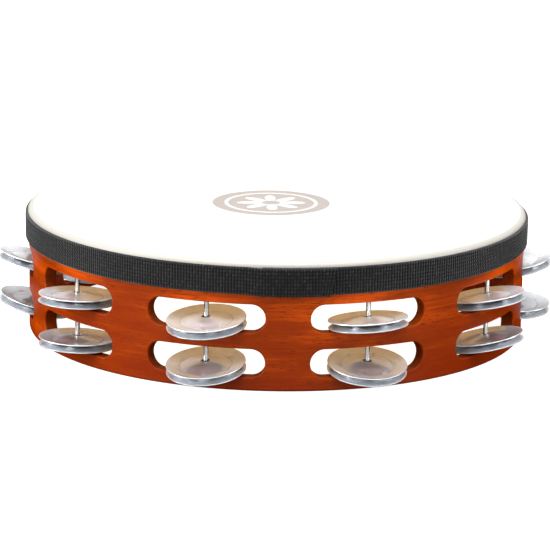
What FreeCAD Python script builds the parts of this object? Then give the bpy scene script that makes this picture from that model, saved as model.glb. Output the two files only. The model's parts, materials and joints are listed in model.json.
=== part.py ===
"""A double-row headed tambourine: bent wood shell, glued film head, woven band, pins and jingles.

Frame: millimetres, +Z up, the shell stands on its open edge at z = 0 and its axis is the Z axis.
Columns of jingles are placed by their turn about Z: 0 looks along -Y and turns grow towards +X.
"""
import FreeCAD
import Part

import math
import os

import Sketcher

# Driving dimensions: alias, value in millimetres or degrees, and what it is.
SIZES = [
    ("shell_outer_radius", 127.0, "a 10 inch shell, measured over the wood"),
    ("shell_wall", 6.5, "thickness of the bent and laminated wood"),
    ("shell_height", 62.15, "depth of the shell without the head"),
    ("playing_edge_radius", 2.0, "round-over that the head is drawn across"),
    ("hand_edge_radius", 1.1, "round-over of the two bottom edges"),
    ("inner_lip_radius", 0.8, "round-over of the inside top edge"),
    ("slot_end_turn", 10.05, "turn from a slot's middle to the middle of its round end"),
    ("slot_height", 13.7, "height of a jingle slot, twice its end radius"),
    ("lower_slot_bottom", 6.7, "height of the lower slots' bottom face"),
    ("upper_slot_bottom", 28.4, "height of the upper slots' bottom face"),
    ("slot_edge_radius", 0.7, "easing of the slots' sharp edges"),
    ("column_count", 10, "columns of slots round the shell"),
    ("first_column_angle", 18.0, "turn of the first column about Z"),
    ("pin_circle_radius", 123.75, "distance of the pins from the shell's axis, the middle of the wall"),
    ("pin_radius", 1.15, "radius of a pin's shank"),
    ("pin_top", 49.0, "height of the pin's point above the bottom edge"),
    ("pin_point_length", 2.0, "length of the tapered point"),
    ("pin_head_radius", 1.9, "radius of the pin's flat head"),
    ("pin_head_thickness", 0.8, "thickness of the pin's flat head"),
    ("pin_recess_depth", 1.4, "depth of the counterbore that takes the pin's head"),
    ("pin_play", 0.02, "radial play of a pin in the wood"),
    ("film_thickness", 0.35, "thickness of the head's film"),
    ("film_skirt_bottom", 49.0, "height of the head's lower edge, under the band"),
    ("band_bottom", 47.1, "height of the woven band's lower edge"),
    ("band_height", 13.4, "width of the woven band"),
    ("band_thickness", 1.4, "thickness of the woven band"),
    ("band_edge_radius", 0.4, "softness of the band's edges"),
    ("band_lap_turn", 9.0, "turn over which the band's end covers its start"),
    ("band_lap_end", 9.5, "turn at which the band's covering end stops"),
    ("band_lap_drop", 0.6, "how far the covering end sits below the rest"),
    ("band_lap_thickness", 0.7, "thickness of the pressed covering end"),
    ("jingle_radius", 19.0, "radius of a jingle"),
    ("jingle_hole_radius", 2.0, "radius of the hole that the pin passes through"),
    ("jingle_sheet", 0.5, "thickness of the jingle's sheet"),
    ("hub_height", 2.9, "top of the hub above the plane where a pair meets"),
    ("hub_flat_radius", 2.8, "radius of the flat round the hole"),
    ("valley_height", 0.8, "top of the pressed ring above the meeting plane"),
    ("valley_inner_radius", 11.6, "where the hub's slope ends"),
    ("valley_outer_radius", 13.8, "where the rim's flare begins"),
    ("rim_height", 2.1, "top of the rim above the meeting plane"),
    ("dent_count", 6, "hammered dents round a jingle"),
    ("dent_circle_radius", 12.6, "distance of the dents from the hole's centre"),
    ("dent_radius", 1.6, "radius of a dent at the surface"),
    ("dent_depth", 0.4, "depth of a dent below the pressed ring"),
    ("dent_bump", 0.2, "how far a dent stands out of the underside"),
    ("dent_turn", 23.0, "turn of the dents from one jingle to the next"),
    ("rest_gap", 0.08, "play left where a pair rests on the wood"),
]

# How each pair leans on its pin at rest, in degrees, from the first column on:
# (outward lean, sideways roll) in the lower slot, then in the upper slot.
LEANS = [
    ((9.0, 0.5), (-6.0, 2.5)),
    ((-11.5, 3.0), (-10.0, 1.5)),
    ((0.5, 3.0), (-9.5, 2.5)),
    ((4.0, 1.0), (-6.0, -2.0)),
    ((-4.0, 2.0), (7.0, -1.5)),
    ((8.0, -2.0), (-5.0, 1.0)),
    ((-7.0, -1.0), (3.0, 2.0)),
    ((-14.5, -0.5), (-13.5, 3.0)),
    ((-3.0, 0.5), (-3.5, 1.0)),
    ((9.0, 2.5), (6.5, 2.5)),
]

ROWS = ("lower", "upper")
Y_AXIS = FreeCAD.Vector(0, 1, 0)
Z_AXIS = FreeCAD.Vector(0, 0, 1)
SAME = 0.01
CONTACT_STEPS = 72
PROFILE_STEPS = 12

doc = FreeCAD.newDocument("tambourine")


def fill_sheet():
    """Makes the spreadsheet that every sketch and feature reads its sizes from."""
    made = doc.addObject("Spreadsheet::Sheet", "size")
    for row, (alias, size, meaning) in enumerate(SIZES, start=1):
        made.set(f"A{row}", meaning)
        made.set(f"B{row}", str(size))
        made.setAlias(f"B{row}", alias)
    doc.recompute()
    return made


sheet = fill_sheet()


def value(expression):
    """The present value, as a plain number, of an expression in the sheet's sizes."""
    result = sheet.evalExpression(expression)
    return float(getattr(result, "Value", result))


def new_body(label):
    body = doc.addObject("PartDesign::Body", label)
    body.Label = label
    return body


def origin_feature(body, role):
    """One of the body's own origin planes or axes."""
    return next(f for f in body.Origin.OriginFeatures if f.Role == role)


def new_sketch(body, name, plane="YZ_Plane", turn=None):
    """A sketch on one of the body's planes. A turn is an expression: degrees about the sketch's vertical."""
    sketch = body.newObject("Sketcher::SketchObject", name)
    sketch.AttachmentSupport = [(origin_feature(body, plane), "")]
    sketch.MapMode = "FlatFace"
    if turn is not None:
        rotation = FreeCAD.Rotation(Y_AXIS, value(turn))
        sketch.AttachmentOffset = FreeCAD.Placement(FreeCAD.Vector(), rotation)
        sketch.setExpression("AttachmentOffset.Rotation.Angle", turn)
    return sketch


def bind_point(sketch, geometry, end, across, up):
    """Holds a sketch point at two distances from the sketch's origin, both given as expressions."""
    for kind, axis, expression in (("DistanceX", -2, across), ("DistanceY", -1, up)):
        if expression == "0":
            sketch.addConstraint(Sketcher.Constraint("PointOnObject", geometry, end, axis))
            continue
        index = sketch.addConstraint(Sketcher.Constraint(kind, -1, 1, geometry, end, value(expression)))
        sketch.setExpression(f"Constraints[{index}]", expression)


def draw_outline(sketch, corners, centres=None):
    """Draws a closed outline of straight sides, bound to expressions.

    corners holds (across, up) pairs. centres maps a side, by its first corner, to the (across, up) of
    an arc's centre, and that side is then the shorter arc from its corner to the next.
    """
    centres = centres or {}
    points = [FreeCAD.Vector(value(across), value(up), 0) for across, up in corners]
    starts = []
    for i, start in enumerate(points):
        end = points[(i + 1) % len(points)]
        if i not in centres:
            sketch.addGeometry(Part.LineSegment(start, end))
            starts.append((i, 1, 2))
            continue
        centre = FreeCAD.Vector(value(centres[i][0]), value(centres[i][1]), 0)
        clockwise = (start - centre).cross(end - centre).z < 0
        first, last = (end, start) if clockwise else (start, end)
        angles = [math.atan2(p.y - centre.y, p.x - centre.x) for p in (first, last)]
        circle = Part.Circle(centre, Z_AXIS, (start - centre).Length)
        sketch.addGeometry(Part.ArcOfCircle(circle, *angles))
        starts.append((i, 2, 1) if clockwise else (i, 1, 2))
    for i, (geometry, _, last) in enumerate(starts):
        following, first, _ = starts[(i + 1) % len(starts)]
        sketch.addConstraint(Sketcher.Constraint("Coincident", geometry, last, following, first))
    for i, (across, up) in enumerate(corners):
        bind_point(sketch, starts[i][0], starts[i][1], across, up)
    for i, (across, _) in centres.items():
        index = sketch.addConstraint(Sketcher.Constraint("DistanceX", -1, 1, i, 3, value(across)))
        sketch.setExpression(f"Constraints[{index}]", across)


def draw_circle(sketch, across, up, radius):
    centre = FreeCAD.Vector(value(across), value(up), 0)
    index = sketch.addGeometry(Part.Circle(centre, Z_AXIS, value(radius)))
    bind_point(sketch, index, 3, across, up)
    held = sketch.addConstraint(Sketcher.Constraint("Radius", index, value(radius)))
    sketch.setExpression(f"Constraints[{held}]", radius)


def revolve(body, name, sketch, angle="360", axis=None):
    """Turns a sketch about the body's Z axis, or about a line of the sketch."""
    feature = body.newObject("PartDesign::Revolution", name)
    feature.Profile = sketch
    feature.ReferenceAxis = axis or (origin_feature(body, "Z_Axis"), [""])
    feature.setExpression("Angle", angle)
    sketch.Visibility = False
    return feature


def groove(body, name, sketch, angle, axis=None):
    """Cuts away what a sketch sweeps as it turns about the body's Z axis, or about a line of the sketch."""
    feature = body.newObject("PartDesign::Groove", name)
    feature.Profile = sketch
    feature.ReferenceAxis = axis or (origin_feature(body, "Z_Axis"), [""])
    feature.setExpression("Angle", angle)
    sketch.Visibility = False
    return feature


def pocket(body, name, sketch, depth):
    """Cuts a sketch's outline into the body, towards the side that the sketch faces."""
    feature = body.newObject("PartDesign::Pocket", name)
    feature.Profile = sketch
    feature.Reversed = True
    feature.setExpression("Length", depth)
    sketch.Visibility = False
    return feature


def repeat_round(body, name, originals, count):
    """Repeats features evenly in a full turn about the body's Z axis."""
    pattern = body.newObject("PartDesign::PolarPattern", name)
    pattern.Originals = originals
    pattern.Axis = (origin_feature(body, "Z_Axis"), [""])
    pattern.Angle = 360
    pattern.setExpression("Occurrences", count)
    body.Tip = pattern
    return pattern


def ease_edges(body, name, base, radius, wanted):
    """Rounds the edges of a feature for which wanted(edge) is true."""
    doc.recompute()
    names = [f"Edge{i}" for i, edge in enumerate(base.Shape.Edges, start=1) if wanted(edge)]
    if not names:
        raise RuntimeError(f"{body.Label}: {name} found no edge to round")
    feature = body.newObject("PartDesign::Fillet", name)
    feature.Base = (base, names)
    feature.setExpression("Radius", radius)
    body.Tip = feature
    return feature


def points_on(edge, steps=6):
    """(distance from the Z axis, height) of points along an edge."""
    points = edge.discretize(Number=steps)
    return [(math.hypot(p.x, p.y), p.z) for p in points]


def circle_at(radius, height):
    """A test for a level circular edge about the Z axis."""
    reach = value(radius)
    level = value(height)

    def wanted(edge):
        return all(abs(r - reach) < SAME and abs(z - level) < SAME for r, z in points_on(edge))

    return wanted


def check_cut(body, before, after, expected):
    """Stops the build if a cut took away nothing, or far less than it should."""
    doc.recompute()
    removed = before.Shape.Volume - after.Shape.Volume
    if removed < expected:
        raise RuntimeError(f"{body.Label}: {after.Name} removed {removed:.1f} mm3, expected {expected:.1f}")


def cut_first_slots(body):
    """Cuts the first column's two slots: a run along the wall, and a round end drilled at each side of it."""
    cuts = []
    inside = "size.shell_outer_radius - size.shell_wall - 5"
    outside = "size.shell_outer_radius + 5"
    for row in ROWS:
        low = f"size.{row}_slot_bottom"
        high = f"size.{row}_slot_bottom + size.slot_height"
        start = "size.first_column_angle - size.slot_end_turn - 180"
        section = new_sketch(body, f"{row}_run_section", "YZ_Plane", start)
        draw_outline(section, [(inside, low), (outside, low), (outside, high), (inside, high)])
        cuts.append(groove(body, f"{row}_run", section, "2 * size.slot_end_turn"))
    for side, sign in (("left", "-"), ("right", "+")):
        turn = f"size.first_column_angle {sign} size.slot_end_turn"
        ends = new_sketch(body, f"{side}_end_outlines", "XZ_Plane", turn)
        for row in ROWS:
            draw_circle(ends, "0", f"size.{row}_slot_bottom + size.slot_height / 2", "size.slot_height / 2")
        cuts.append(pocket(body, f"{side}_ends", ends, outside))
    return cuts


def make_shell():
    """The bent wood shell with its two rows of slots and the holes that the pins are driven into."""
    body = new_body("wood_shell")
    inner = "size.shell_outer_radius - size.shell_wall"
    outer = "size.shell_outer_radius"
    top = "size.shell_height"
    section = new_sketch(body, "wall_section")
    draw_outline(section, [(inner, "0"), (outer, "0"), (outer, top), (inner, top)])
    wall = revolve(body, "wall", section)
    rounded = ease_edges(body, "playing_edge", wall, "size.playing_edge_radius", circle_at(outer, top))
    rounded = ease_edges(body, "inner_lip", rounded, "size.inner_lip_radius", circle_at(inner, top))
    outside_foot = circle_at(outer, "0")
    inside_foot = circle_at(inner, "0")
    rounded = ease_edges(
        body, "hand_edges", rounded, "size.hand_edge_radius", lambda e: outside_foot(e) or inside_foot(e)
    )

    cuts = cut_first_slots(body)
    slots = repeat_round(body, "slots", cuts, "size.column_count")
    middle = value("size.shell_outer_radius - size.shell_wall / 2")
    run = 2 * middle * math.radians(value("size.slot_end_turn"))
    slot_face = run * value("size.slot_height") + math.pi * value("size.slot_height / 2") ** 2
    all_slots = slot_face * value("size.shell_wall * size.column_count") * len(ROWS)
    check_cut(body, rounded, slots, 0.95 * all_slots)

    faces = (value(inner), value(outer))
    low = value("size.lower_slot_bottom") - SAME
    high = value("size.upper_slot_bottom + size.slot_height") + SAME

    def on_slot_rim(edge):
        if edge.Curve.TypeId == "Part::GeomLine":
            return False
        samples = points_on(edge)
        on_a_face = any(all(abs(r - face) < SAME for r, _ in samples) for face in faces)
        return on_a_face and all(low <= z <= high for _, z in samples)

    eased = ease_edges(body, "slot_edges", slots, "size.slot_edge_radius", on_slot_rim)

    across = "size.pin_circle_radius * sin(size.first_column_angle * 1 deg)"
    up = "-size.pin_circle_radius * cos(size.first_column_angle * 1 deg)"
    shank = new_sketch(body, "pin_hole_outline", "XY_Plane")
    draw_circle(shank, across, up, "size.pin_radius + size.pin_play")
    shank_hole = pocket(body, "pin_hole", shank, "size.pin_top + size.pin_play")
    recess = new_sketch(body, "pin_recess_outline", "XY_Plane")
    draw_circle(recess, across, up, "size.pin_head_radius + size.pin_play")
    recess_hole = pocket(body, "pin_recess", recess, "size.pin_recess_depth")
    holes = repeat_round(body, "pin_holes", [shank_hole, recess_hole], "size.column_count")
    one_recess = math.pi * value("size.pin_head_radius ^ 2 * size.pin_recess_depth")
    check_cut(body, eased, holes, one_recess * value("size.column_count"))
    return body


def make_head():
    """The film head: flat over the shell, drawn across its playing edge and glued down its side."""
    body = new_body("drum_head")
    outer = "size.shell_outer_radius"
    top = "size.shell_height"
    film = "size.film_thickness"
    skirt = "size.film_skirt_bottom"
    bend_across = "size.shell_outer_radius - size.playing_edge_radius"
    bend_up = "size.shell_height - size.playing_edge_radius"
    corners = [
        ("0", top),
        (bend_across, top),
        (outer, bend_up),
        (outer, skirt),
        (f"{outer} + {film}", skirt),
        (f"{outer} + {film}", bend_up),
        (bend_across, f"{top} + {film}"),
        ("0", f"{top} + {film}"),
    ]
    section = new_sketch(body, "film_section")
    draw_outline(section, corners, {1: (bend_across, bend_up), 5: (bend_across, bend_up)})
    revolve(body, "film", section)
    return body


def make_band():
    """The woven band round the head's skirt, with the pressed end that covers its start."""
    body = new_body("webbing_band")
    inner = "size.shell_outer_radius + size.film_thickness"
    outer = f"{inner} + size.band_thickness"
    low = "size.band_bottom"
    high = "size.band_bottom + size.band_height"
    section = new_sketch(body, "band_section")
    draw_outline(section, [(inner, low), (outer, low), (outer, high), (inner, high)])
    strip = revolve(body, "strip", section)
    outer_low = circle_at(outer, low)
    outer_high = circle_at(outer, high)
    ease_edges(body, "strip_edges", strip, "size.band_edge_radius", lambda e: outer_low(e) or outer_high(e))

    start = "size.band_lap_end - size.band_lap_turn - 180"
    bite = "size.band_edge_radius"
    end_face = new_sketch(body, "lap_section", "YZ_Plane", start)
    corners = [
        (f"{outer} - {bite}", f"{low} - size.band_lap_drop"),
        (f"{outer} + size.band_lap_thickness", f"{low} - size.band_lap_drop"),
        (f"{outer} + size.band_lap_thickness", f"{high} - size.band_lap_drop"),
        (f"{outer} - {bite}", f"{high} - size.band_lap_drop"),
    ]
    draw_outline(end_face, corners)
    revolve(body, "lap", end_face, "size.band_lap_turn")
    return body


def make_pin_pattern():
    """The pin that each column has: a flat head below, a straight shank and a tapered point."""
    body = new_body("pin_pattern")
    under = "size.pin_recess_depth - size.pin_head_thickness"
    corners = [
        ("0", under),
        ("size.pin_head_radius", under),
        ("size.pin_head_radius", "size.pin_recess_depth"),
        ("size.pin_radius", "size.pin_recess_depth"),
        ("size.pin_radius", "size.pin_top - size.pin_point_length"),
        ("0", "size.pin_top"),
    ]
    section = new_sketch(body, "pin_section")
    draw_outline(section, corners)
    revolve(body, "pin", section)
    return body


def make_jingle_pattern():
    """The pressed and hammered jingle, facing up, with the plane where a pair meets at z = 0."""
    body = new_body("jingle_pattern")
    face = [
        ("size.jingle_hole_radius", "size.hub_height"),
        ("size.hub_flat_radius", "size.hub_height"),
        ("size.valley_inner_radius", "size.valley_height"),
        ("size.valley_outer_radius", "size.valley_height"),
        ("size.jingle_radius", "size.rim_height"),
    ]
    underside = [(across, f"{up} - size.jingle_sheet") for across, up in reversed(face)]
    section = new_sketch(body, "sheet_section")
    draw_outline(section, face + underside)
    pressed = revolve(body, "pressed_sheet", section)

    bump_across = "size.dent_circle_radius"
    bump_low = "size.valley_height - size.jingle_sheet - size.dent_bump"
    bump = draw_cap(body, "dent_bump", bump_across, bump_low, "size.dent_bump + size.jingle_sheet / 2")
    dimple_low = "size.valley_height - size.dent_depth"
    dimple = draw_cap(body, "dent_dimple", bump_across, dimple_low, "size.dent_depth + 0.15")
    bump_feature = revolve(body, "bump", bump, axis=(bump, ["Axis0"]))
    dimple_feature = groove(body, "dimple", dimple, "360", axis=(dimple, ["Axis0"]))
    dents = repeat_round(body, "dents", [bump_feature, dimple_feature], "size.dent_count")
    doc.recompute()
    if abs(dents.Shape.Volume - pressed.Shape.Volume) < 1.0:
        raise RuntimeError("the jingle's dents changed nothing")
    return body


def draw_cap(body, name, across, low, height):
    """A sketch of half a round cap that points down, with the line at its middle to turn it about."""
    sketch = new_sketch(body, name)
    edge = f"{across} + size.dent_radius"
    ball = f"(size.dent_radius ^ 2 + ({height}) ^ 2) / (2 * ({height}))"
    corners = [(across, low), (edge, f"{low} + {height}"), (across, f"{low} + {height}")]
    draw_outline(sketch, corners, {0: (across, f"{low} + {ball}")})
    x = value(across)
    axis = sketch.addGeometry(Part.LineSegment(FreeCAD.Vector(x, 0, 0), FreeCAD.Vector(x, 1, 0)), True)
    sketch.addConstraint(Sketcher.Constraint("Vertical", axis))
    bind_point(sketch, axis, 1, across, "0")
    sketch.addConstraint(Sketcher.Constraint("DistanceY", axis, 1, axis, 2, 1.0))
    return sketch


def clone_of(pattern, label):
    """A body of its own with the finished shape of a pattern body."""
    body = new_body(label)
    copy = body.newObject("PartDesign::FeatureBase", f"{label}_shape")
    copy.BaseFeature = pattern
    body.Tip = copy
    return body


def column_turn(column):
    return value("size.first_column_angle") + 360.0 * column / value("size.column_count")


def column_point(column, height):
    """The point on a column's pin at some height."""
    turn = math.radians(column_turn(column))
    reach = value("size.pin_circle_radius")
    return FreeCAD.Vector(reach * math.sin(turn), -reach * math.cos(turn), height)


def pair_lean(lean, roll):
    """The turn of a leaning pair, in a frame whose X points out of the shell and Y along its wall."""
    return FreeCAD.Rotation(Y_AXIS, lean).multiply(FreeCAD.Rotation(FreeCAD.Vector(1, 0, 0), roll))


def lowest_over_wood(lean, roll):
    """How far a leaning pair reaches below the middle of its meeting plane, over the wood's edge."""
    face = [
        (value("size.hub_flat_radius"), value("size.hub_height")),
        (value("size.valley_inner_radius"), value("size.valley_height")),
        (value("size.valley_outer_radius"), value("size.valley_height")),
        (value("size.jingle_radius"), value("size.rim_height")),
    ]
    turn = pair_lean(lean, roll)
    pins = value("size.pin_circle_radius")
    outer = value("size.shell_outer_radius")
    inner = outer - value("size.shell_wall")
    reach = 0.0
    for (r0, h0), (r1, h1) in zip(face, face[1:]):
        for step in range(PROFILE_STEPS + 1):
            share = step / PROFILE_STEPS
            r = r0 + share * (r1 - r0)
            height = h0 + share * (h1 - h0)
            for mark in range(CONTACT_STEPS):
                angle = 2 * math.pi * mark / CONTACT_STEPS
                point = turn.multVec(FreeCAD.Vector(r * math.cos(angle), r * math.sin(angle), -height))
                if inner <= math.hypot(pins + point.x, point.y) <= outer:
                    reach = max(reach, -point.z)
    return reach


def place_jingle(body, column, row, lean, roll, side, spin):
    """Puts a jingle on its pin. side is "top", dished upwards, or "bottom", the same one turned over."""
    floor = value(f"size.{row}_slot_bottom")
    height = floor + value("size.rest_gap") + lowest_over_wood(lean, roll)
    outward = FreeCAD.Rotation(Z_AXIS, column_turn(column) - 90)
    over = FreeCAD.Rotation(FreeCAD.Vector(1, 0, 0), 180 if side == "bottom" else 0)
    turn = outward.multiply(pair_lean(lean, roll)).multiply(over).multiply(FreeCAD.Rotation(Z_AXIS, spin))
    body.Placement = FreeCAD.Placement(column_point(column, height), turn)


def make_columns():
    """Every column's pin, and the two pairs of jingles that it carries."""
    pin_pattern = make_pin_pattern()
    jingle_pattern = make_jingle_pattern()
    doc.recompute()
    pins = []
    jingles = []
    for column in range(int(value("size.column_count"))):
        pin = clone_of(pin_pattern, f"pin_{column + 1:02d}")
        pin.Placement = FreeCAD.Placement(column_point(column, 0), FreeCAD.Rotation())
        pins.append(pin)
        for row, (lean, roll) in zip(ROWS, LEANS[column]):
            for side in ("bottom", "top"):
                jingle = clone_of(jingle_pattern, f"jingle_{column + 1:02d}_{row}_{side}")
                spin = len(jingles) * value("size.dent_turn")
                place_jingle(jingle, column, row, lean, roll, side, spin)
                jingles.append(jingle)
    return pins + jingles


def check_and_write(nodes):
    """Stops if anything in the document failed, and writes each sub-part to its own file."""
    doc.recompute()
    for item in doc.Objects:
        if "Invalid" in item.State or "Error" in item.State:
            raise RuntimeError(f"{item.Label} failed: {item.State}")
    os.makedirs("parts", exist_ok=True)
    for node in nodes:
        shape = node.Shape
        if shape.isNull() or not shape.isValid() or len(shape.Solids) != 1:
            raise RuntimeError(f"{node.Label} isn't one sound solid")
    for node in nodes:
        node.Shape.exportStep(f"parts/{node.Label}.step")
    print(f"wrote {len(nodes)} sub-parts")


check_and_write([make_shell(), make_head(), make_band()] + make_columns())
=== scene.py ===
"""A double-row headed tambourine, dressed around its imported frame.

Everything is in metres in the frame's own axes: +Z is up, the shell stands on its open edge at z = 0
and its axis is the Z axis. Columns of jingles are counted by their turn about Z, from -Y towards +X.
"""
import json
import logging
import math
from dataclasses import dataclass, field
from enum import Enum
from typing import Any, Callable, Sequence

import bmesh
import bpy
import numpy as np
from mathutils import Matrix, Vector

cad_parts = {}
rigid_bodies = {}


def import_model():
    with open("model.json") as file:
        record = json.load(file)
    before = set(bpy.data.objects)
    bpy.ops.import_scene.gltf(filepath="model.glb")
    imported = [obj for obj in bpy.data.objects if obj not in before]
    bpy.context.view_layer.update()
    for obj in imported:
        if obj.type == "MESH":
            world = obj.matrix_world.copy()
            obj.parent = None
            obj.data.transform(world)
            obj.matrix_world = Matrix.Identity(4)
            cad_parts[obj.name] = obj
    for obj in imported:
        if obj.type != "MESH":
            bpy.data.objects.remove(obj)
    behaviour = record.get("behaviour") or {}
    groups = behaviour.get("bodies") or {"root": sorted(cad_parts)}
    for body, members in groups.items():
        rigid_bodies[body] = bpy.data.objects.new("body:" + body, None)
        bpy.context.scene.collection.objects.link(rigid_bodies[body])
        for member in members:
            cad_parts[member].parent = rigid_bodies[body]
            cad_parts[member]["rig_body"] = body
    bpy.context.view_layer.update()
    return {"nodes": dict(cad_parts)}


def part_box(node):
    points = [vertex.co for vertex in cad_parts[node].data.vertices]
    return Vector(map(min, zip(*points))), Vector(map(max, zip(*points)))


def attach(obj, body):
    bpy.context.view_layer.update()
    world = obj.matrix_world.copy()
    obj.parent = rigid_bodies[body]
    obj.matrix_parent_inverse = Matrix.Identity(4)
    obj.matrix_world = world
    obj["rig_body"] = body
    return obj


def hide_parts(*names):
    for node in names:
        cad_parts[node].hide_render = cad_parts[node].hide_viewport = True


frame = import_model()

MM = 0.001
# How wide the fine scratches of bare metal spread light, and how strongly turning marks stretch it.
SCRATCH_ROUGHNESS = 0.6
TURNED_ANISOTROPY = 0.4
log = logging.getLogger("tambourine")


class Slot(Enum):
    """Names of the record's material slots; nothing in this script uses them."""

    FILM = "head_film"
    WEBBING = "band_webbing"
    JINGLE = "jingle_steel"


# ---------------------------------------------------------------- colours, nodes and meshes


def linear(colour: str) -> tuple[float, float, float, float]:
    """Turns an sRGB hex colour into the linear values that shaders take.

    Args:
        colour: six hex digits after a hash sign.

    Returns:
        Linear red, green and blue, and an alpha of 1.
    """
    parts = [int(colour[i : i + 2], 16) / 255 for i in (1, 3, 5)]
    red, green, blue = (c / 12.92 if c <= 0.04045 else ((c + 0.055) / 1.055) ** 2.4 for c in parts)
    return red, green, blue, 1.0


def add_node(
    tree: bpy.types.NodeTree,
    kind: str,
    inputs: dict[str | int, Any] | None = None,
    **settings: Any,
) -> bpy.types.Node:
    """Adds a node with its settings and links.

    Args:
        tree: the node tree that gets the node.
        kind: the node's type, without the ShaderNode prefix.
        inputs: maps an input's name or index to a value, or to the output that feeds it.
        settings: properties of the node itself.

    Returns:
        The new node.
    """
    made = tree.nodes.new(f"ShaderNode{kind}")
    for name, value in settings.items():
        setattr(made, name, value)
    for key, value in (inputs or {}).items():
        socket = made.inputs[key]
        if isinstance(value, bpy.types.NodeSocket):
            tree.links.new(value, socket)
        else:
            socket.default_value = value
    return made


def add_math(
    tree: bpy.types.NodeTree, operation: str, *values: Any, **settings: Any
) -> bpy.types.NodeSocket:
    """Adds one step of arithmetic on numbers or sockets, and returns its result."""
    node = add_node(tree, "Math", dict(enumerate(values)), operation=operation, **settings)
    return node.outputs[0]


def add_range(
    tree: bpy.types.NodeTree,
    value: bpy.types.NodeSocket,
    of: tuple[float, float] = (0.0, 1.0),
    to: tuple[float, float] = (0.0, 1.0),
    clamp: bool = True,
) -> bpy.types.NodeSocket:
    """Maps a value from one range to another.

    Args:
        tree: the node tree.
        value: what is mapped.
        of: the two ends that the value is measured between.
        to: what those ends become.
        clamp: whether a value past an end stops there.

    Returns:
        The mapped value.
    """
    ends = {"Value": value, "From Min": of[0], "From Max": of[1], "To Min": to[0], "To Max": to[1]}
    return add_node(tree, "MapRange", ends, clamp=clamp).outputs[0]


def add_mix(tree: bpy.types.NodeTree, share: Any, first: Any, second: Any) -> bpy.types.NodeSocket:
    """Mixes two linear colours: a share of 0 gives the first and 1 gives the second."""
    return add_node(tree, "Mix", {0: share, 6: first, 7: second}, data_type="RGBA").outputs[2]


def add_ramp(
    tree: bpy.types.NodeTree, value: bpy.types.NodeSocket, stops: Sequence[tuple[float, str]]
) -> bpy.types.NodeSocket:
    """Turns a value into a colour that runs through stops of a position and a hex colour each."""
    made = add_node(tree, "ValToRGB", {0: value})
    ramp = made.color_ramp
    while len(ramp.elements) < len(stops):
        ramp.elements.new(0.5)
    for element, (position, colour) in zip(ramp.elements, stops):
        element.position = position
        element.color = linear(colour)
    return made.outputs[0]


def add_bump(
    tree: bpy.types.NodeTree,
    height: bpy.types.NodeSocket,
    strength: float,
    depth: float,
    under: bpy.types.NodeSocket | None = None,
) -> bpy.types.NodeSocket:
    """Bends the shading normal by a height field, on top of a coarser bump if there is one.

    Args:
        tree: the node tree.
        height: the height field, from 0 to 1.
        strength: the share of the bump that is used.
        depth: how deep the full height is, in metres.
        under: the normal of the coarser bump.

    Returns:
        The bent normal.
    """
    inputs = {"Height": height, "Strength": strength, "Distance": depth}
    if under is not None:
        inputs["Normal"] = under
    return add_node(tree, "Bump", inputs).outputs[0]


def new_material(name: str) -> tuple[bpy.types.Material, bpy.types.NodeTree]:
    """An empty node material with its tree."""
    material = bpy.data.materials.new(name)
    material.use_nodes = True
    material.node_tree.nodes.clear()
    return material, material.node_tree


def dress(piece: bpy.types.Object, material: bpy.types.Material) -> None:
    """Gives a piece one material all over."""
    piece.data.materials.clear()
    piece.data.materials.append(material)


def select_only(piece: bpy.types.Object) -> None:
    """Makes a piece the active and only selected object."""
    bpy.ops.object.select_all(action="DESELECT")
    piece.select_set(True)
    bpy.context.view_layer.objects.active = piece


def pick(piece: bpy.types.Object, wanted: Callable[[Vector], bool]) -> None:
    """Selects the vertices that pass a test, and nothing else.

    Args:
        piece: the piece that is open in edit mode.
        wanted: a test of a point in the piece's own axes.
    """
    mesh = bmesh.from_edit_mesh(piece.data)
    bpy.ops.mesh.select_mode(type="VERT")
    bpy.ops.mesh.select_all(action="DESELECT")
    for vertex in mesh.verts:
        if wanted(vertex.co):
            vertex.select_set(True)
    mesh.select_flush_mode()
    bmesh.update_edit_mesh(piece.data)


def turn_out() -> None:
    """Merges doubles and makes every face of the piece in edit mode point outwards."""
    bpy.ops.mesh.select_all(action="SELECT")
    bpy.ops.mesh.remove_doubles(threshold=1e-6)
    bpy.ops.mesh.normals_make_consistent(inside=False)


def apply_modifiers(piece: bpy.types.Object) -> None:
    """Applies the piece's modifiers in order."""
    select_only(piece)
    for modifier in list(piece.modifiers):
        bpy.ops.object.modifier_apply(modifier=modifier.name)


def shade_smooth(piece: bpy.types.Object, angle: float) -> None:
    """Smooths the shading over edges that turn by less than an angle in degrees."""
    select_only(piece)
    bpy.ops.object.shade_smooth_by_angle(angle=math.radians(angle))


def raise_rings(profile: Sequence[tuple[float, float]], segments: int, fill: str) -> bpy.types.Object:
    """Extrudes a circle ring by ring along a profile, and leaves the new piece open in edit mode.

    Args:
        profile: (radius, height) of each ring in millimetres, from the first ring on.
        segments: points round the circle.
        fill: how the first ring is closed, as the circle primitive names it.

    Returns:
        The new piece.
    """
    bpy.ops.object.select_all(action="DESELECT")
    radius, height = profile[0]
    bpy.ops.mesh.primitive_circle_add(
        vertices=segments, radius=radius * MM, fill_type=fill, location=(0, 0, height * MM)
    )
    piece = bpy.context.object
    bpy.ops.object.transform_apply(location=True, rotation=True, scale=True)
    select_only(piece)
    bpy.ops.object.mode_set(mode="EDIT")
    pick(piece, lambda p: math.hypot(p.x, p.y) > 0.5 * radius * MM)
    for wider, higher in profile[1:]:
        bpy.ops.mesh.extrude_edges_move(TRANSFORM_OT_translate={"value": (0, 0, (higher - height) * MM)})
        share = wider / radius
        bpy.ops.transform.resize(value=(share, share, 1), center_override=(0, 0, 0))
        radius, height = wider, higher
    return piece


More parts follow.
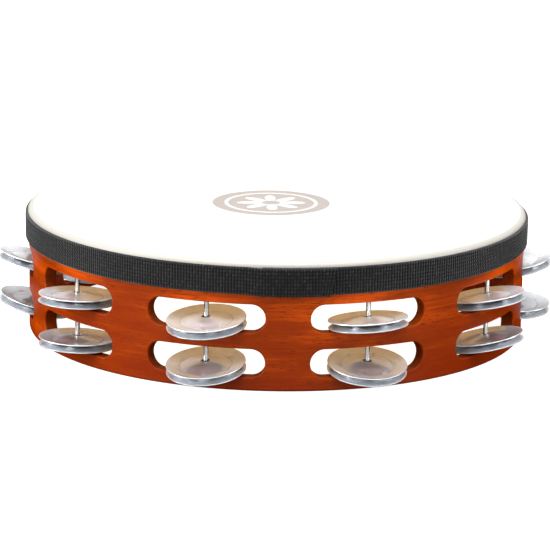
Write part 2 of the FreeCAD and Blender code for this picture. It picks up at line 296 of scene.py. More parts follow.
def hazy_metal(
    tree: bpy.types.NodeTree,
    tone: bpy.types.NodeSocket,
    rough: bpy.types.NodeSocket,
    bump: bpy.types.NodeSocket,
    haze: float,
    turned: bpy.types.NodeSocket | None = None,
) -> bpy.types.NodeSocket:
    """Bare metal whose fine scratches spread part of every reflection wide.

    Args:
        tree: the material's node tree.
        tone: the metal's colour.
        rough: the roughness between the scratches.
        bump: the shading normal.
        haze: the share of the reflection that the scratches spread.
        turned: the direction of the tool marks, if the metal was turned.

    Returns:
        The surface's shader output.
    """
    metal = {"Base Color": tone, "Metallic": 1.0, "Normal": bump}
    if turned is not None:
        metal |= {"Anisotropic": TURNED_ANISOTROPY, "Tangent": turned}
    clear = add_node(tree, "BsdfPrincipled", metal | {"Roughness": rough})
    spread = add_node(tree, "BsdfPrincipled", metal | {"Roughness": SCRATCH_ROUGHNESS})
    return add_node(tree, "MixShader", {0: haze, 1: clear.outputs[0], 2: spread.outputs[0]}).outputs[0]


# ---------------------------------------------------------------- finishes


@dataclass(frozen=True)
class LacqueredHardwood:
    """Bent and laminated hardwood, stained red-brown and sprayed with satin lacquer.

    The grain runs round the shell, with short dark pores. The colour is drawn a little lighter towards the
    head, painted light from above, and the plies show wherever the wall is cut through.
    """

    outer_radius: float
    wall: float
    height: float
    stain_deep: str = "#7E2400"
    stain: str = "#8C2F00"
    stain_lit: str = "#C04802"
    pore: str = "#742200"
    soak_and_shade: str = "#482000"
    glue_line: str = "#3A0F02"
    plies: int = 6
    face_depth: float = 0.3 * MM

    def build(self) -> bpy.types.Material:
        """Makes the material."""
        material, tree = new_material("lacquered_hardwood")
        place = add_node(tree, "TexCoord").outputs["Object"]
        axes = add_node(tree, "SeparateXYZ", {0: place}).outputs
        back = add_math(tree, "MULTIPLY", axes["Y"], -1.0)
        turn = add_math(tree, "ARCTAN2", axes["X"], back)
        along = add_math(tree, "MULTIPLY", turn, self.outer_radius)
        flat = add_node(tree, "CombineXYZ", {"X": axes["X"], "Y": axes["Y"]}).outputs[0]
        reach = add_node(tree, "VectorMath", {0: flat}, operation="LENGTH").outputs["Value"]
        grain_place = add_node(tree, "CombineXYZ", {"X": along, "Y": axes["Z"], "Z": reach}).outputs[0]

        # Broad figure, about 60 mm along the grain and 14 mm across it.
        figure = self.stretched_noise(tree, grain_place, 60, 14, 3.0, 0.55)
        # Fibres, about 26 mm long and 1.1 mm wide.
        fibre = self.stretched_noise(tree, grain_place, 26, 1.1, 4.0, 0.6)
        # Pores, about 4 mm long and drawn 0.45 mm wide, which is coarser than real so that they show.
        pores = self.stretched_noise(tree, grain_place, 4.2, 0.45, 1.0, 0.4)
        cluster = self.stretched_noise(tree, grain_place, 18, 6, 2.0, 0.5)

        # Painted light: the colour climbs from the lower edge towards the head, as if lit from above.
        painted_top_light = add_range(tree, axes["Z"], of=(0.0, self.height), to=(0.25, 0.75))
        mixed = add_math(tree, "MULTIPLY_ADD", figure, 1.3, painted_top_light)
        mixed = add_math(tree, "MULTIPLY_ADD", fibre, 0.7, mixed)
        tone = add_range(tree, mixed, of=(1.12, 1.84))
        wood = add_ramp(tree, tone, [(0.0, self.stain_deep), (0.5, self.stain), (1.0, self.stain_lit)])

        pore_field = add_math(tree, "MULTIPLY_ADD", cluster, 0.35, pores)
        pore_mask = add_range(tree, pore_field, of=(0.80, 0.88))
        pored = add_mix(tree, pore_mask, wood, linear(self.pore))

        inner = self.outer_radius - self.wall
        ply = add_range(tree, reach, of=(inner, self.outer_radius), to=(0.0, float(self.plies)), clamp=False)
        ply_share = add_math(tree, "FRACT", ply)
        glue_line = add_math(tree, "GREATER_THAN", ply_share, 0.94)
        inside_wall = add_math(tree, "LESS_THAN", reach, self.outer_radius - self.face_depth)
        past_face = add_math(tree, "GREATER_THAN", reach, inner + self.face_depth)
        cut = add_math(tree, "MULTIPLY", inside_wall, past_face)
        # The cut walls inside the slots are drawn darker: painted shade of the recess, together with stain
        # soaked deeper into the end grain.
        soak_and_shade = add_math(tree, "MULTIPLY", cut, 0.45)
        pored = add_mix(tree, soak_and_shade, pored, linear(self.soak_and_shade))
        glue = add_math(tree, "MULTIPLY", glue_line, cut)
        glue = add_math(tree, "MULTIPLY", glue, 0.6)
        colour = add_mix(tree, glue, pored, linear(self.glue_line))

        rough = add_range(tree, fibre, to=(0.34, 0.46))
        bump_height = add_math(tree, "MULTIPLY_ADD", pore_mask, -0.5, fibre)
        bump = add_bump(tree, bump_height, 0.25, 0.15 * MM)
        shader = add_node(
            tree,
            "BsdfPrincipled",
            {
                "Base Color": colour,
                "Roughness": rough,
                "Normal": bump,
                "IOR": 1.5,
                "Specular IOR Level": 0.06,
                "Coat Weight": 0.06,
                "Coat Roughness": 0.22,
                "Coat IOR": 1.48,
            },
        )
        add_node(tree, "OutputMaterial", {"Surface": shader.outputs[0]})
        return material

    @staticmethod
    def stretched_noise(
        tree: bpy.types.NodeTree,
        place: bpy.types.NodeSocket,
        length: float,
        width: float,
        detail: float,
        rough: float,
    ) -> bpy.types.NodeSocket:
        """Noise whose blots are a length and a width in millimetres, along and across the grain."""
        scale = (1 / (length * MM), 1 / (width * MM), 1 / (width * MM))
        mapped = add_node(tree, "Mapping", {"Vector": place, "Scale": scale}).outputs[0]
        noise = add_node(
            tree, "TexNoise", {"Vector": mapped, "Scale": 1.0, "Detail": detail, "Roughness": rough}
        )
        return noise.outputs[0]


@dataclass(frozen=True)
class CoatedFilm:
    """Polyester film with a white coating, which scatters light softly and lets some through."""

    top: float
    shoulder: float
    print_centre: tuple[float, float]
    print_half: tuple[float, float]
    film: str = "#C6C6C6"
    cloudy: str = "#C3C3C3"
    ink: str = "#8B8989"
    shoulder_shade: str = "#AAA9A1"
    glow: str = "#F0D8B4"
    clarity: float = 0.18
    under_clarity: float = 0.9

    def build(self) -> bpy.types.Material:
        """Makes the material."""
        material, tree = new_material("coated_film")
        place = add_node(tree, "TexCoord").outputs["Object"]
        centre = (-self.print_centre[0], -self.print_centre[1], 0.0)
        centred = add_node(tree, "Mapping", {"Vector": place, "Location": centre}).outputs[0]
        half = (1 / self.print_half[0], 1 / self.print_half[1], 0.0)
        oval_place = add_node(tree, "VectorMath", {0: centred, 1: half}, operation="MULTIPLY").outputs[0]
        oval = add_node(tree, "VectorMath", {0: oval_place}, operation="LENGTH").outputs["Value"]
        in_oval = add_range(tree, oval, of=(0.99, 1.0), to=(1.0, 0.0))

        # A rosette of eight petals with a plain ring round it, left white in the ink.
        axes = add_node(tree, "SeparateXYZ", {0: oval_place}).outputs
        turn = add_math(tree, "ARCTAN2", axes["Y"], axes["X"])
        wave = add_math(tree, "MULTIPLY", turn, 4.0)
        wave = add_math(tree, "COSINE", wave)
        wave = add_math(tree, "ABSOLUTE", wave)
        petal_edge = add_math(tree, "MULTIPLY_ADD", wave, 0.46, 0.12)
        petals = add_math(tree, "LESS_THAN", oval, petal_edge)
        eye = add_math(tree, "LESS_THAN", oval, 0.16)
        petals = add_math(tree, "SUBTRACT", petals, eye, use_clamp=True)
        ring_gap = add_math(tree, "SUBTRACT", oval, 0.76)
        ring_gap = add_math(tree, "ABSOLUTE", ring_gap)
        ring = add_math(tree, "LESS_THAN", ring_gap, 0.03)
        white = add_math(tree, "MAXIMUM", petals, ring)
        inked = add_math(tree, "SUBTRACT", in_oval, white, use_clamp=True)
        up = add_node(tree, "SeparateXYZ", {0: place}).outputs["Z"]
        on_top = add_math(tree, "GREATER_THAN", up, self.top - 0.1 * MM)
        inked = add_math(tree, "MULTIPLY", inked, on_top)
        # Painted shade: the film is drawn darker from its shoulder down, where its bend turns away from the
        # light.
        flat = add_node(tree, "VectorMath", {0: place, 1: (1.0, 1.0, 0.0)}, operation="MULTIPLY").outputs[0]
        reach = add_node(tree, "VectorMath", {0: flat}, operation="LENGTH").outputs["Value"]
        shoulder_shade = add_range(tree, reach, of=(self.shoulder - 0.6 * MM, self.shoulder - 0.1 * MM))

        # Coating blotches about 30 mm across, and a spray texture drawn at 0.8 mm.
        cloud = add_node(
            tree, "TexNoise", {"Vector": place, "Scale": 1 / (30 * MM), "Detail": 3.0}
        ).outputs[0]
        film = add_ramp(tree, cloud, [(0.3, self.cloudy), (0.7, self.film)])
        film = add_mix(tree, shoulder_shade, film, linear(self.shoulder_shade))
        colour = add_mix(tree, inked, film, linear(self.ink))
        spray = add_node(
            tree, "TexNoise", {"Vector": place, "Scale": 1 / (0.8 * MM), "Detail": 2.0}
        ).outputs[0]
        bump = add_bump(tree, spray, 0.12, 0.03 * MM)
        rough = add_range(tree, cloud, to=(0.42, 0.52))
        shader = add_node(
            tree,
            "BsdfPrincipled",
            {
                "Base Color": colour,
                "Roughness": rough,
                "Normal": bump,
                "IOR": 1.57,
            },
        )
        # Light from above shines through the film and warms on its way.
        through = add_node(tree, "BsdfTranslucent", {"Color": linear(self.glow), "Normal": bump})
        inside = add_node(tree, "Attribute", attribute_name="inside").outputs["Fac"]
        clarity = add_range(tree, inside, to=(self.clarity, self.under_clarity))
        surface = add_node(tree, "MixShader", {0: clarity, 1: shader.outputs[0], 2: through.outputs[0]})
        add_node(tree, "OutputMaterial", {"Surface": surface.outputs[0]})
        return material


@dataclass(frozen=True)
class WovenPolypropylene:
    """Black polypropylene webbing: dull yarns in raised rows, with a faint sheen at a low angle."""

    pick: float
    row: float
    deep: str = "#161616"
    yarn: str = "#1C1C1C"
    worn: str = "#2E2E2D"
    groove: str = "#010101"

    def build(self) -> bpy.types.Material:
        """Makes the material. The UV map holds metres along and across the band."""
        material, tree = new_material("woven_polypropylene")
        along_across = add_node(tree, "UVMap", uv_map="strap").outputs[0]
        per_thread = (1 / self.pick, 1 / self.row, 1.0)
        threads = add_node(tree, "VectorMath", {0: along_across, 1: per_thread}, operation="MULTIPLY")
        axes = add_node(tree, "SeparateXYZ", {0: threads.outputs[0]}).outputs
        # The crossing of a cord and a pick is a bump with a shade of its own.
        row = add_math(tree, "FLOOR", axes["Y"])
        cell = add_math(tree, "FLOOR", axes["X"])
        seed = add_node(tree, "CombineXYZ", {"X": cell, "Y": row}).outputs[0]
        chance = add_node(tree, "TexWhiteNoise", {"Vector": seed}).outputs[0]
        tone = add_ramp(tree, chance, [(0.0, self.deep), (0.6, self.yarn), (1.0, self.worn)])
        # Little light reaches the grooves between cords and between picks.
        groove = add_math(tree, "MULTIPLY", axes["Y"], math.pi)
        notch = add_math(tree, "MULTIPLY", axes["X"], math.pi)
        crowns = []
        for wave, least in ((groove, 0.2), (notch, 0.0)):
            wave = add_math(tree, "SINE", wave)
            wave = add_math(tree, "ABSOLUTE", wave)
            crown = add_range(tree, wave, of=(0.3, 0.95), to=(least, 1.0))
            crowns.append(crown)
        crown = add_math(tree, "MULTIPLY", crowns[0], crowns[1])
        tone = add_mix(tree, crown, linear(self.groove), tone)
        # Filaments of the yarn, drawn at 0.2 mm.
        fine = add_node(
            tree, "Mapping", {"Vector": along_across, "Scale": (1 / (1.4 * MM), 1 / (0.2 * MM), 1.0)}
        ).outputs[0]
        filament = add_node(tree, "TexNoise", {"Vector": fine, "Scale": 1.0, "Detail": 2.0}).outputs[0]
        bump = add_bump(tree, filament, 0.5, 0.08 * MM)
        shader = add_node(
            tree,
            "BsdfPrincipled",
            {
                "Base Color": tone,
                "Roughness": 0.62,
                "Normal": bump,
                "IOR": 1.49,
                "Specular IOR Level": 0.15,
                "Sheen Weight": 0.5,
                "Sheen Roughness": 0.4,
            },
        )
        add_node(tree, "OutputMaterial", {"Surface": shader.outputs[0]})
        return material


@dataclass(frozen=True)
class PressedStainless:
    """Rolled stainless sheet, pressed to shape and tumbled: bright, with soft turned rings."""

    radius: float
    dents: int
    dent_circle: float
    steel: str = "#F3F5F8"
    smeared: str = "#E4E6E9"
    dark_reflection: str = "#2A2420"
    haze: float = 0.52

    def build(self) -> bpy.types.Material:
        """Makes the material. The UV map holds the sheet's own plane, with the hole at its middle."""
        material, tree = new_material("pressed_stainless")
        sheet_place = add_node(tree, "UVMap", uv_map="sheet").outputs[0]
        centred = add_node(
            tree, "Mapping", {"Vector": sheet_place, "Location": (-0.5, -0.5, 0.0)}
        ).outputs[0]
        reach = add_node(tree, "VectorMath", {0: centred}, operation="LENGTH").outputs["Value"]
        across = 2 * self.radius
        seed = add_node(tree, "Attribute", attribute_name="batch").outputs["Fac"]
        # Turning rings about 0.35 mm apart.
        ring_place = add_node(tree, "CombineXYZ", {"X": reach}).outputs[0]
        rings = add_node(
            tree,
            "TexNoise",
            {"Vector": ring_place, "W": seed, "Scale": across / (0.35 * MM), "Detail": 2.0},
            noise_dimensions="4D",
        ).outputs[0]
        # Tumbling marks and smears about 6 mm across.
        smear = add_node(
            tree,
            "TexNoise",
            {"Vector": centred, "W": seed, "Scale": across / (6 * MM), "Detail": 4.0},
            noise_dimensions="4D",
        ).outputs[0]
        rough = add_range(tree, smear, to=(0.1, 0.22))
        tone = add_ramp(tree, smear, [(0.25, self.smeared), (0.75, self.steel)])
        # A dark line, 0.5 mm to each side, along the bottom of the valley is a painted reflection of dark
        # surroundings.
        off_valley = add_math(tree, "SUBTRACT", reach, self.dent_circle / across)
        off_valley = add_math(tree, "ABSOLUTE", off_valley)
        edge = 0.5 * MM / across
        reflection_line = add_range(tree, off_valley, of=(0.3 * edge, edge), to=(0.42, 0.0))
        reflection_line = add_math(tree, "MULTIPLY", reflection_line, smear)
        tone = add_mix(tree, reflection_line, tone, linear(self.dark_reflection))
        # The hammer leaves the whole sheet softly uneven, at about 3 mm.
        hammered = add_node(
            tree,
            "TexNoise",
            {"Vector": centred, "W": seed, "Scale": across / (3.0 * MM), "Detail": 1.0},
            noise_dimensions="4D",
        ).outputs[0]
        soft = add_bump(tree, hammered, 0.35, 0.16 * MM)
        # Round each dent the hammer leaves sharp small facets, about 1 mm across.
        axes = add_node(tree, "SeparateXYZ", {0: centred}).outputs
        turn = add_math(tree, "ARCTAN2", axes["Y"], axes["X"])
        turn = add_math(tree, "MULTIPLY", turn, float(self.dents))
        turn = add_math(tree, "COSINE", turn)
        by_turn = add_range(tree, turn, of=(0.3, 0.7))
        by_ring = add_range(tree, off_valley, of=(0.05, 0.08), to=(1.0, 0.0))
        struck = add_math(tree, "MULTIPLY", by_turn, by_ring)
        facets = add_node(
            tree,
            "TexVoronoi",
            {"Vector": centred, "W": seed, "Scale": across / (1.3 * MM)},
            voronoi_dimensions="4D",
        ).outputs[0]
        facets = add_math(tree, "MULTIPLY", facets, struck)
        struck_bump = add_bump(tree, facets, 0.9, 0.35 * MM, soft)
        bump = add_bump(tree, rings, 0.2, 0.02 * MM, struck_bump)
        turned = add_node(tree, "Attribute", attribute_name="turned").outputs["Vector"]
        surface = hazy_metal(tree, tone, rough, bump, self.haze, turned)
        add_node(tree, "OutputMaterial", {"Surface": surface})
        return material


@dataclass(frozen=True)
class DrawnSteel:
    """Bright drawn steel wire: smooth, with faint die lines along it."""

    steel: str = "#D4CFCA"
    die_line: str = "#A8A39E"
    haze: float = 0.05

    def build(self) -> bpy.types.Material:
        """Makes the material."""
        material, tree = new_material("drawn_steel")
        place = add_node(tree, "TexCoord").outputs["Object"]
        # Die lines, 0.1 mm apart round the wire and 30 mm long.
        fine = add_node(
            tree, "Mapping", {"Vector": place, "Scale": (1 / (0.1 * MM), 1 / (0.1 * MM), 1 / (30 * MM))}
        ).outputs[0]
        lines = add_node(tree, "TexNoise", {"Vector": fine, "Scale": 1.0, "Detail": 2.0}).outputs[0]
        rough = add_range(tree, lines, to=(0.12, 0.26))
        bump = add_bump(tree, lines, 0.15, 0.01 * MM)
        tone = add_ramp(tree, lines, [(0.3, self.die_line), (0.7, self.steel)])
        surface = hazy_metal(tree, tone, rough, bump, self.haze)
        add_node(tree, "OutputMaterial", {"Surface": surface})
        return material


# ---------------------------------------------------------------- the object's pieces


@dataclass
class Shell:
    """The bent wood shell, which is the frame's own node."""

    node: str = "wood_shell"
    wall: float = 6.5 * MM

    def build(self) -> None:
        """Dresses the shell."""
        low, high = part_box(self.node)
        finish = LacqueredHardwood(outer_radius=high.x, wall=self.wall, height=high.z - low.z)
        dress(frame["nodes"][self.node], finish.build())
        log.info("%s keeps its own mesh", self.node)


@dataclass
class Head:
    """The film head: a disc drawn over the playing edge and down the shell's side, open below.

    The film, the shoulder and the rings are in millimetres, and the print is in metres.
    """

    node: str = "drum_head"
    film: float = 0.35
    shoulder: float = 2.35
    segments: int = 256
    shoulder_steps: int = 8
    smooth_angle: float = 60.0
    rings: tuple[float, ...] = (2, 8, 20, 35, 50, 65, 80, 95, 108, 118, 123)
    print_centre: tuple[float, float] = (-2.9 * MM, 3.8 * MM)
    print_half: tuple[float, float] = (30.4 * MM, 29.9 * MM)

    def build(self) -> bpy.types.Object:
        """Raises the outer face ring by ring, turns in at the lower edge and comes back up inside.

        Returns:
            The finished head.
        """
        low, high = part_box(self.node)
        outer, top, bottom = high.x / MM, high.z / MM, low.z / MM
        upper = self.shell_of(outer, top, bottom, self.shoulder)
        under = self.shell_of(outer - self.film, top - self.film, bottom, self.shoulder - self.film)
        piece = raise_rings(upper + under[::-1], self.segments, "TRIFAN")
        bpy.ops.mesh.extrude_edges_move()
        bpy.ops.mesh.merge(type="CENTER")
        turn_out()
        bpy.ops.object.mode_set(mode="OBJECT")
        shade_smooth(piece, self.smooth_angle)
        piece.name = "film_head"
        # The flat's under face passes more light than the coated upper one.
        inside = piece.data.attributes.new("inside", "FLOAT", "FACE")
        inside.data.foreach_set("value", [float(face.normal.z < -0.9) for face in piece.data.polygons])
        finish = CoatedFilm(
            top=high.z,
            shoulder=high.x - self.shoulder * MM,
            print_centre=self.print_centre,
            print_half=self.print_half,
        )
        dress(piece, finish.build())
        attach(piece, "frame")
        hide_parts(self.node)
        log.info("head: %d faces", len(piece.data.polygons))
        return piece

    def shell_of(self, outer: float, top: float, bottom: float, bend: float) -> list[tuple[float, float]]:
        """The rings of one face of the film, from near its middle out and down to its lower edge.

        Args:
            outer: radius of the skirt, in millimetres.
            top: height of the flat.
            bottom: height of the lower edge.
            bend: radius of the shoulder.

        Returns:
            (radius, height) of each ring.
        """
        flat = [(radius, top) for radius in self.rings]
        turns = [math.pi / 2 * step / self.shoulder_steps for step in range(self.shoulder_steps + 1)]
        shoulder = [
            (outer - bend * (1 - math.sin(turn)), top - bend * (1 - math.cos(turn))) for turn in turns
        ]
        return flat + shoulder + [(outer, (top - bend + bottom) / 2), (outer, bottom)]


@dataclass
class Band:
    """The woven band, one strap wrapped round the head's skirt with its end lapped over its start."""

    node: str = "webbing_band"
    thickness: float = 1.4 * MM
    pick: float = 1.45 * MM
    rows: int = 8
    steps_a_pick: int = 6
    steps_a_row: int = 3
    cord_relief: float = 0.34 * MM
    pick_relief: float = 0.45 * MM
    scallop: float = 0.1 * MM
    lap_start: float = math.radians(-5.6)
    lap_end: float = math.radians(9.5)
    lap_ramp: float = math.radians(4.0)
    lap_lift: float = 0.7 * MM
    lap_drop: float = 0.6 * MM
    drop_taper: float = 0.6
    slant: float = 3.0 * MM
    slant_share: float = 0.01
    edge_round: float = 0.25 * MM
    smooth_angle: float = 50.0

    def build(self) -> bpy.types.Object:
        """Makes the band as one sheet with its thickness turned in at every edge.

        Returns:
            The finished band.
        """
        low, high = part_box(self.node)
        height = high.z - low.z - self.lap_drop
        bottom = low.z + self.lap_drop
        outer = -low.x
        turn = 2 * math.pi + self.lap_end - self.lap_start
        length = turn * outer
        columns = round(length / self.pick) * self.steps_a_pick
        lines = self.rows * self.steps_a_row
        log.info("band: %d x %d steps, %.1f mm long", columns, lines, length / MM)

        share = np.linspace(0.0, 1.0, columns + 1)
        across = np.linspace(0.0, 1.0, lines + 1)
        u, v = np.meshgrid(share * length, across * height, indexing="ij")
        row_phase = v / height * self.rows
        row = np.minimum(np.floor(row_phase + 1e-9), self.rows - 1)
        cord = np.abs(np.sin(math.pi * (row_phase - row))) ** 0.7
        weave = np.abs(np.sin(math.pi * u / self.pick))
        lift = -self.cord_relief * (1 - cord) - self.pick_relief * (1 - weave)
        # Near its end the strap climbs over its own start.
        climb = self.lap_ramp * outer
        climb_start = length - (self.lap_end - self.lap_start + self.lap_ramp) * outer
        end_share = np.clip((u - climb_start) / climb, 0, 1)
        over = end_share * end_share * (3 - 2 * end_share)
        near_edge = np.clip(1 - np.minimum(v, height - v) / (height / self.rows), 0, 1)
        side = np.where(v > height / 2, 1.0, -1.0)
        z = bottom + v - over * self.lap_drop * (1 - self.drop_taper * v / height)
        z = z + side * near_edge * self.scallop * (np.cos(2 * math.pi * u / self.pick) - 1)
        last_share = np.clip((u / length - 1 + self.slant_share) / self.slant_share, 0, 1)
        end_cut = u + (v / height - 0.5) * self.slant * last_share
        angle = self.lap_start + end_cut / outer
        reach = outer - near_edge**3 * self.edge_round + lift + over * self.lap_lift

        piece = self.wrap(reach, angle, z, u, v)
        finish = WovenPolypropylene(pick=self.pick, row=height / self.rows)
        dress(piece, finish.build())
        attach(piece, "frame")
        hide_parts(self.node)
        return piece

    def wrap(
        self, reach: np.ndarray, angle: np.ndarray, z: np.ndarray, u: np.ndarray, v: np.ndarray
    ) -> bpy.types.Object:
        """Builds the strap's mesh: its woven face, its edges and its plain back.

        Args:
            reach: distance from the shell's axis of each point of the woven face.
            angle: turn about the axis of each point.
            z: height of each point.
            u: metres along the strap.
            v: metres across the strap.

        Returns:
            The new piece.
        """
        columns, lines = reach.shape
        face = np.stack([reach * np.sin(angle), -reach * np.cos(angle), z], axis=-1)
        over = reach.max(axis=1) - np.median(reach.max(axis=1))
        back_reach = np.full((columns, 2), np.median(reach) - self.thickness)
        back_reach += np.maximum(over, 0)[:, None]
        back_angle = angle[:, [0, -1]]
        back = np.stack(
            [back_reach * np.sin(back_angle), -back_reach * np.cos(back_angle), z[:, [0, -1]]], axis=-1
        )
        points = np.concatenate([face.reshape(-1, 3), back.reshape(-1, 3)])
        index = np.arange(columns * lines).reshape(columns, lines)
        behind = columns * lines + np.arange(columns * 2).reshape(columns, 2)
        faces = []
        for i in range(columns - 1):
            for j in range(lines - 1):
                faces.append((index[i, j], index[i + 1, j], index[i + 1, j + 1], index[i, j + 1]))
            faces.append((behind[i, 0], behind[i + 1, 0], index[i + 1, 0], index[i, 0]))
            faces.append((index[i, -1], index[i + 1, -1], behind[i + 1, 1], behind[i, 1]))
            faces.append((behind[i, 1], behind[i + 1, 1], behind[i + 1, 0], behind[i, 0]))
        faces.append(tuple(index[0, ::-1]) + tuple(behind[0]))
        faces.append(tuple(index[-1]) + tuple(behind[-1, ::-1]))
        mesh = bpy.data.meshes.new("webbing")
        mesh.from_pydata(points.tolist(), [], [tuple(int(k) for k in f) for f in faces])
        mesh.validate()
        strap = mesh.uv_layers.new(name="strap")
        flat_u = np.concatenate([u.ravel(), u[:, [0, -1]].ravel()])
        flat_v = np.concatenate([v.ravel(), v[:, [0, -1]].ravel()])
        corner = np.zeros(len(mesh.loops), np.int32)
        mesh.loops.foreach_get("vertex_index", corner)
        flat = np.stack([flat_u[corner], flat_v[corner]], axis=1)
        strap.data.foreach_set("uv", flat.astype(np.float32).ravel())
        piece = bpy.data.objects.new("woven_band", mesh)
        bpy.context.scene.collection.objects.link(piece)
        shade_smooth(piece, self.smooth_angle)
        return piece


@dataclass
class Jingle:
    """A pressed and hammered jingle, with its own sizes in millimetres.

    The pattern faces up, with the plane where a pair meets at z = 0.
    """

    radius: float = 19.0
    sheet: float = 0.5
    segments: int = 72
    dents: int = 6
    dent_circle: float = 12.6
    dent_steps: tuple[float, ...] = (2.3, 1.6, 0.8)
    dent_step_depth: float = 0.16
    edge_round: float = 0.12
    sharp_angle: float = 50.0
    spin: float = math.radians(23)
    rim_share: float = 0.985
    batch_step: float = 3.7
    profile: tuple[tuple[float, float], ...] = (
        (2.00, 2.87),
        (2.40, 2.92),
        (2.90, 2.86),
        (4.20, 2.68),
        (6.20, 2.30),
        (8.20, 1.72),
        (10.0, 1.12),
        (11.5, 0.82),
        (12.6, 0.78),
        (13.3, 0.85),
        (14.7, 1.10),
        (16.8, 1.57),
        (18.3, 1.94),
        (19.0, 2.10),
    )

    def pattern(self) -> bpy.types.Object:
        """Models one jingle: rings raised to the profile, dents pressed in, then its thickness.

        Returns:
            The pattern, with its own sheet coordinates.
        """
        piece = raise_rings(self.profile, self.segments, "NOTHING")
        turn_out()
        for number in range(self.dents):
            angle = 2 * math.pi * number / self.dents
            centre = Vector((math.cos(angle), math.sin(angle), 0)) * self.dent_circle * MM
            for reach in self.dent_steps:
                pick(piece, lambda p: (p.xy - centre.xy).length < reach * MM)
                bpy.ops.transform.translate(value=(0, 0, -self.dent_step_depth * MM))
        bpy.ops.object.mode_set(mode="OBJECT")
        if sum(face.normal.z for face in piece.data.polygons) < 0:
            piece.data.flip_normals()
        solid = piece.modifiers.new("sheet", "SOLIDIFY")
        solid.thickness = self.sheet * MM
        solid.offset = -1
        solid.use_even_offset = True
        edge = piece.modifiers.new("edge", "BEVEL")
        edge.width = self.edge_round * MM
        edge.segments = 2
        edge.limit_method = "ANGLE"
        edge.angle_limit = math.radians(self.sharp_angle)
        fair = piece.modifiers.new("fair", "SUBSURF")
        fair.levels = 1
        fair.render_levels = 1
        apply_modifiers(piece)
        mesh = piece.data
        sheet = mesh.uv_layers.new(name="sheet")
        across = 2 * self.radius * MM
        for loop in mesh.loops:
            point = mesh.vertices[loop.vertex_index].co
            sheet.data[loop.index].uv = (0.5 + point.x / across, 0.5 + point.y / across)
        for face in mesh.polygons:
            face.use_smooth = True
        return piece

    def place_of(self, node: str) -> Matrix:
        """Finds where a jingle lies at rest from the rim of its frame node.

        Args:
            node: the frame's jingle node.

        Returns:
            The matrix that takes the pattern there.
        """
        mesh = frame["nodes"][node].data
        points = np.array([v.co for v in mesh.vertices])
        middle = (points.min(0) + points.max(0)) / 2
        away = np.linalg.norm(points - middle, axis=1)
        rim = points[away > self.rim_share * away.max()]
        centre = np.unique(rim.round(6), axis=0).mean(0)
        normal = np.linalg.svd(rim - centre)[2][2]
        if (normal[2] > 0) != node.endswith("top"):
            normal = -normal
        up = Vector(normal).normalized()
        outward = Vector((centre[0], centre[1], 0)).normalized()
        across = up.cross(outward).normalized()
        outward = across.cross(up)
        rim_middle = (self.profile[-1][1] - self.sheet / 2) * MM
        origin = Vector(centre) - up * rim_middle
        turn = Matrix((outward, across, up)).transposed().to_4x4()
        return Matrix.Translation(origin) @ turn

    def build(self) -> list[bpy.types.Object]:
        """Makes every jingle from the pattern.

        Returns:
            The placed jingles.
        """
        pattern = self.pattern()
        finish = PressedStainless(
            radius=self.radius * MM, dents=self.dents, dent_circle=self.dent_circle * MM
        ).build()
        pieces = []
        nodes = sorted(n for n in frame["nodes"] if n.startswith("jingle_"))
        for index, node in enumerate(nodes):
            mesh = pattern.data.copy()
            spin = Matrix.Rotation(self.spin * index, 4, "Z")
            points = np.array([v.co for v in mesh.vertices])
            turn = self.place_of(node) @ spin
            mesh.transform(turn)
            # The lathe marks run round the hole, and the batch sets each jingle's own smears.
            round_hole = np.stack([-points[:, 1], points[:, 0], 0 * points[:, 0]], axis=1)
            round_hole = round_hole / np.linalg.norm(round_hole, axis=1, keepdims=True)
            round_hole = round_hole @ np.array(turn.to_3x3()).T
            turned = mesh.attributes.new("turned", "FLOAT_VECTOR", "POINT")
            turned.data.foreach_set("vector", round_hole.astype(np.float32).ravel())
            batch = mesh.attributes.new("batch", "FLOAT", "POINT")
            batch.data.foreach_set("value", np.full(len(mesh.vertices), index * self.batch_step, np.float32))
            piece = bpy.data.objects.new(node.replace("jingle", "cymbal"), mesh)
            bpy.context.scene.collection.objects.link(piece)
            dress(piece, finish)
            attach(piece, frame["nodes"][node]["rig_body"])
            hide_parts(node)
            pieces.append(piece)
        log.info("jingles: %d of %d faces", len(pieces), len(pattern.data.polygons))
        bpy.data.objects.remove(pattern)
        return pieces


@dataclass
class Pins:
    """The steel pins that the jingles ride on."""

    def build(self) -> None:
        """Dresses the pins."""
        finish = DrawnSteel().build()
        nodes = sorted(n for n in frame["nodes"] if n.startswith("pin_"))
        for node in nodes:
            dress(frame["nodes"][node], finish)
        log.info("pins: %d keep their own meshes", len(nodes))


# ---------------------------------------------------------------- the studio


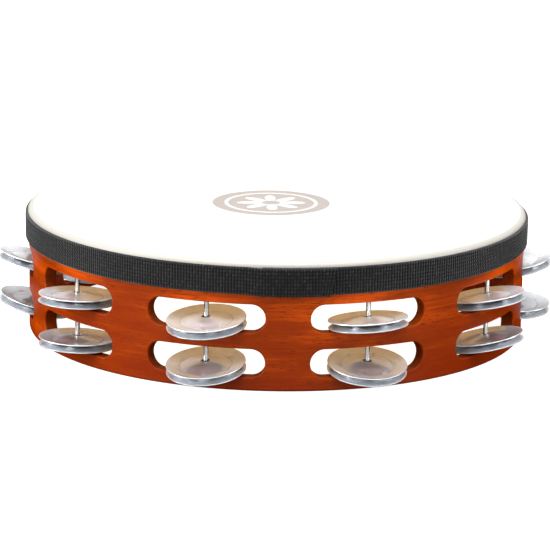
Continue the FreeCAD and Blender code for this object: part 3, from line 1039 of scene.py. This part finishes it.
@dataclass
class Studio:
    """A pale floor, soft lights and the camera."""

    target: Vector = field(default_factory=lambda: Vector((-0.49 * MM, 0, 25 * MM)))
    distance: float = 1320.2 * MM
    azimuth: float = math.radians(-2.76)
    elevation: float = math.radians(14.06)
    roll: float = math.radians(0.88)
    lens: float = 167.12
    floor_gap: float = 0.4 * MM
    room: tuple[tuple[float, str], ...] = (
        (0.47, "#141414"),
        (0.53, "#848484"),
        (0.7, "#DCDCDC"),
        (1.0, "#FAFAFA"),
    )
    lit_wall: str = "#F4F6FA"

    def build(self) -> None:
        """Makes the floor, the lights and the camera."""
        self.floor()
        self.lights()
        self.camera()

    def floor(self) -> None:
        """A wide floor of lit white acrylic, which throws nothing back at the tambourine."""
        bpy.ops.object.select_all(action="DESELECT")
        bpy.ops.mesh.primitive_plane_add(size=12.0, location=(0, 0, -self.floor_gap))
        plane = bpy.context.object
        plane.name = "floor"
        plane.visible_diffuse = False
        plane.visible_glossy = False
        material, tree = new_material("lit_acrylic")
        shader = add_node(
            tree,
            "BsdfPrincipled",
            {
                "Base Color": linear("#BFBFBF"),
                "Roughness": 0.9,
                "Specular IOR Level": 0.1,
                "Emission Color": linear("#FFFFFF"),
                "Emission Strength": 0.95,
            },
        )
        add_node(tree, "OutputMaterial", {"Surface": shader.outputs[0]})
        dress(plane, material)

    def lights(self) -> None:
        """A broad soft box overhead, weaker ones to the sides and the front, and a dim room."""
        world = bpy.data.worlds.new("room")
        world.use_nodes = True
        world.node_tree.nodes.clear()
        tree = world.node_tree
        view = add_node(tree, "TexCoord").outputs["Generated"]
        axes = add_node(tree, "SeparateXYZ", {0: view}).outputs
        height = add_range(tree, axes["Z"], of=(-1.0, 1.0))
        room = add_ramp(tree, height, self.room)
        # The table and the wall in front of the tambourine are lit, and mostly steel shows them.
        ahead = add_range(tree, axes["Y"], of=(-0.5, -0.2), to=(1.0, 0.0))
        near = add_range(tree, axes["Z"], of=(-0.6, -0.4))
        below = add_range(tree, axes["Z"], of=(0.5, 0.8), to=(1.0, 0.0))
        table = add_math(tree, "MULTIPLY", ahead, near)
        table = add_math(tree, "MULTIPLY", table, below)
        room = add_mix(tree, table, room, linear(self.lit_wall))
        background = add_node(tree, "Background", {"Color": room, "Strength": 1.0})
        add_node(tree, "OutputWorld", {"Surface": background.outputs[0]})
        bpy.context.scene.world = world
        self.soft_box("overhead", (0.0, -0.25, 1.5), 1.5, 46)
        self.soft_box("front", (-0.35, -1.5, 1.0), 0.9, 1)
        self.soft_box("left", (-1.5, -0.35, 0.45), 0.9, 26)
        self.soft_box("right", (1.5, -0.35, 0.45), 0.9, 11)

    def soft_box(self, name: str, place: tuple[float, float, float], size: float, power: float) -> None:
        """Hangs a square soft box that faces the object.

        Args:
            name: the light's name.
            place: where it hangs, in metres.
            size: the length of its side, in metres.
            power: its power in watts.
        """
        data = bpy.data.lights.new(name, "AREA")
        data.size = size
        data.energy = power
        light = bpy.data.objects.new(name, data)
        light.location = place
        light.rotation_mode = "QUATERNION"
        light.rotation_quaternion = (self.target - Vector(place)).to_track_quat("-Z", "Y")
        bpy.context.scene.collection.objects.link(light)

    def camera(self) -> None:
        """The camera, a long lens a little above the shell's edge."""
        data = bpy.data.cameras.new("camera")
        data.lens = self.lens
        data.sensor_width = 36.0
        data.clip_start = 0.05
        data.clip_end = 20.0
        camera = bpy.data.objects.new("camera", data)
        level = math.cos(self.elevation)
        back = Vector(
            (math.sin(self.azimuth) * level, -math.cos(self.azimuth) * level, math.sin(self.elevation))
        )
        camera.location = self.target + back * self.distance
        camera.rotation_mode = "QUATERNION"
        aim = (-back).to_track_quat("-Z", "Y")
        camera.rotation_quaternion = aim @ Matrix.Rotation(self.roll, 3, "Z").to_quaternion()
        bpy.context.scene.collection.objects.link(camera)
        bpy.context.scene.camera = camera
        bpy.context.scene.view_settings.view_transform = "Standard"


def main() -> None:
    """Builds and dresses every piece in order."""
    Studio().build()
    Shell().build()
    Head().build()
    Band().build()
    Jingle().build()
    Pins().build()


if __name__ == "__main__":
    logging.basicConfig(level=logging.INFO, format="%(message)s")
    main()
